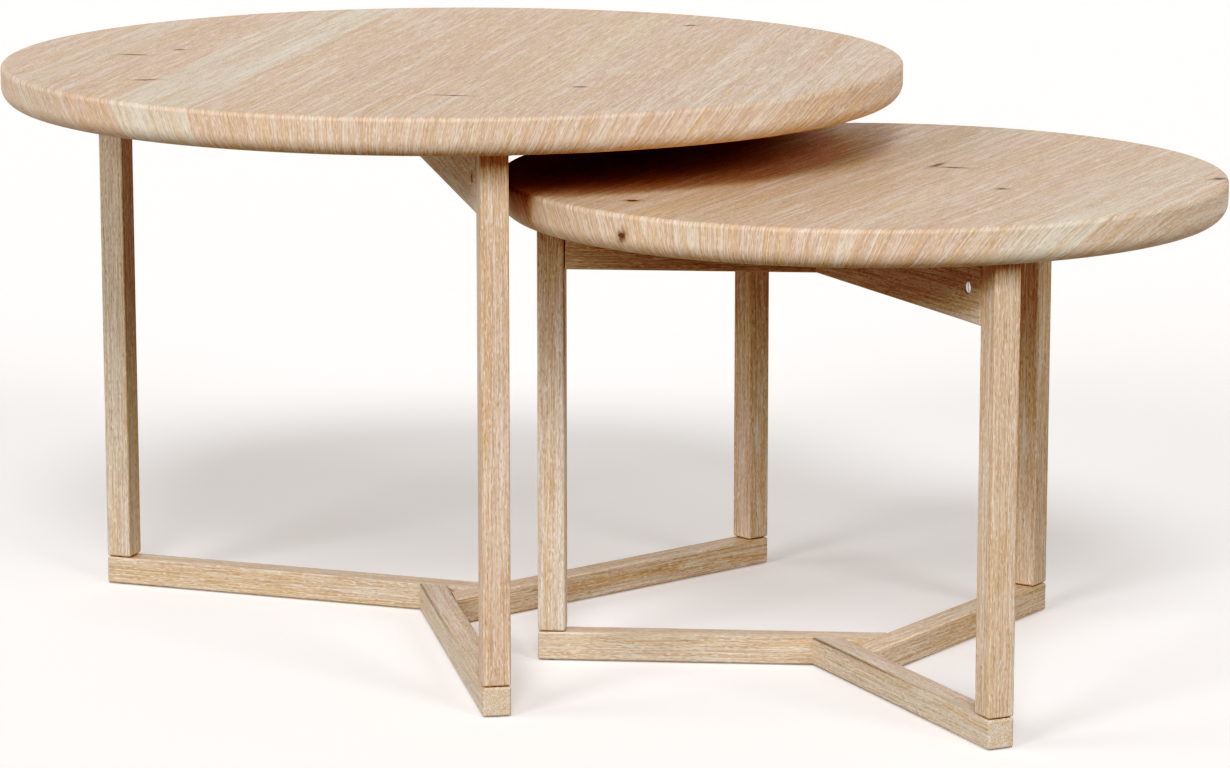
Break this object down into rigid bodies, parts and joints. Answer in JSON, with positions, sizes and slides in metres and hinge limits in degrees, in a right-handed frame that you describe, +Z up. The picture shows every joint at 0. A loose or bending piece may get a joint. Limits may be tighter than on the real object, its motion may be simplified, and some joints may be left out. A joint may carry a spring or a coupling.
{
  "type": "nesting tables",
  "caption": "Round solid-oak nesting tables on square-legged frames with pinwheel rails, the lower table sliding partly under the higher.",
  "frame": {"origin": "on the floor, under the middle of the plan box of the two tops", "axes": "+Z up; +X along the longer side of the plan box, from the large table towards the small one; +Y from the small table towards the large one"},
  "size_m": [1.065, 0.9014, 0.512],
  "materials": {
    "oak_top": "soaped and white-oiled oak, flat sanded, staves glued edge to edge",
    "oak_frame": "white-oiled oak, planed and sanded, eased arrises",
    "beech": "plain beech dowel",
    "zinc": "nickel-plated die-cast zinc",
    "steel": "bright zinc-plated steel",
    "nylon": "moulded nylon, fine matt surface"
  },
  "bodies": {
    "large_table": {"large_top": "oak_top", "large_leg_left": "oak_frame", "large_leg_front": "oak_frame", "large_leg_back": "oak_frame", "large_foot_rail_left": "oak_frame", "large_foot_rail_front": "oak_frame", "large_foot_rail_back": "oak_frame", "large_top_rail_left": "oak_frame", "large_top_rail_front": "oak_frame", "large_top_rail_back": "oak_frame", "large_cam_lock_left": "zinc", "large_cam_lock_front": "zinc", "large_cam_lock_back": "zinc", "large_cam_stud_left": "steel", "large_cam_stud_front": "steel", "large_cam_stud_back": "steel", "large_rail_dowel_left": "beech", "large_rail_dowel_front": "beech", "large_rail_dowel_back": "beech", "large_foot_screw_left": "steel", "large_foot_screw_front": "steel", "large_foot_screw_back": "steel", "large_glide_left": "nylon", "large_glide_front": "nylon", "large_glide_back": "nylon", "large_top_screw_left": "steel", "large_top_screw_front": "steel", "large_top_screw_back": "steel"},
    "small_table": {"small_top": "oak_top", "small_leg_left": "oak_frame", "small_leg_front": "oak_frame", "small_leg_back": "oak_frame", "small_foot_rail_left": "oak_frame", "small_foot_rail_front": "oak_frame", "small_foot_rail_back": "oak_frame", "small_top_rail_left": "oak_frame", "small_top_rail_front": "oak_frame", "small_top_rail_back": "oak_frame", "small_cam_lock_left": "zinc", "small_cam_lock_front": "zinc", "small_cam_lock_back": "zinc", "small_cam_stud_left": "steel", "small_cam_stud_front": "steel", "small_cam_stud_back": "steel", "small_rail_dowel_left": "beech", "small_rail_dowel_front": "beech", "small_rail_dowel_back": "beech", "small_foot_screw_left": "steel", "small_foot_screw_front": "steel", "small_foot_screw_back": "steel", "small_glide_left": "nylon", "small_glide_front": "nylon", "small_glide_back": "nylon", "small_top_screw_left": "steel", "small_top_screw_front": "steel", "small_top_screw_back": "steel"}
  },
  "joints": [
    {"name": "nest_slide", "type": "slide", "parent": "large_table", "child": "small_table", "axis": [0.4947, -0.8691, 0], "range_m": [-0.034, 0.34]}
  ]
}
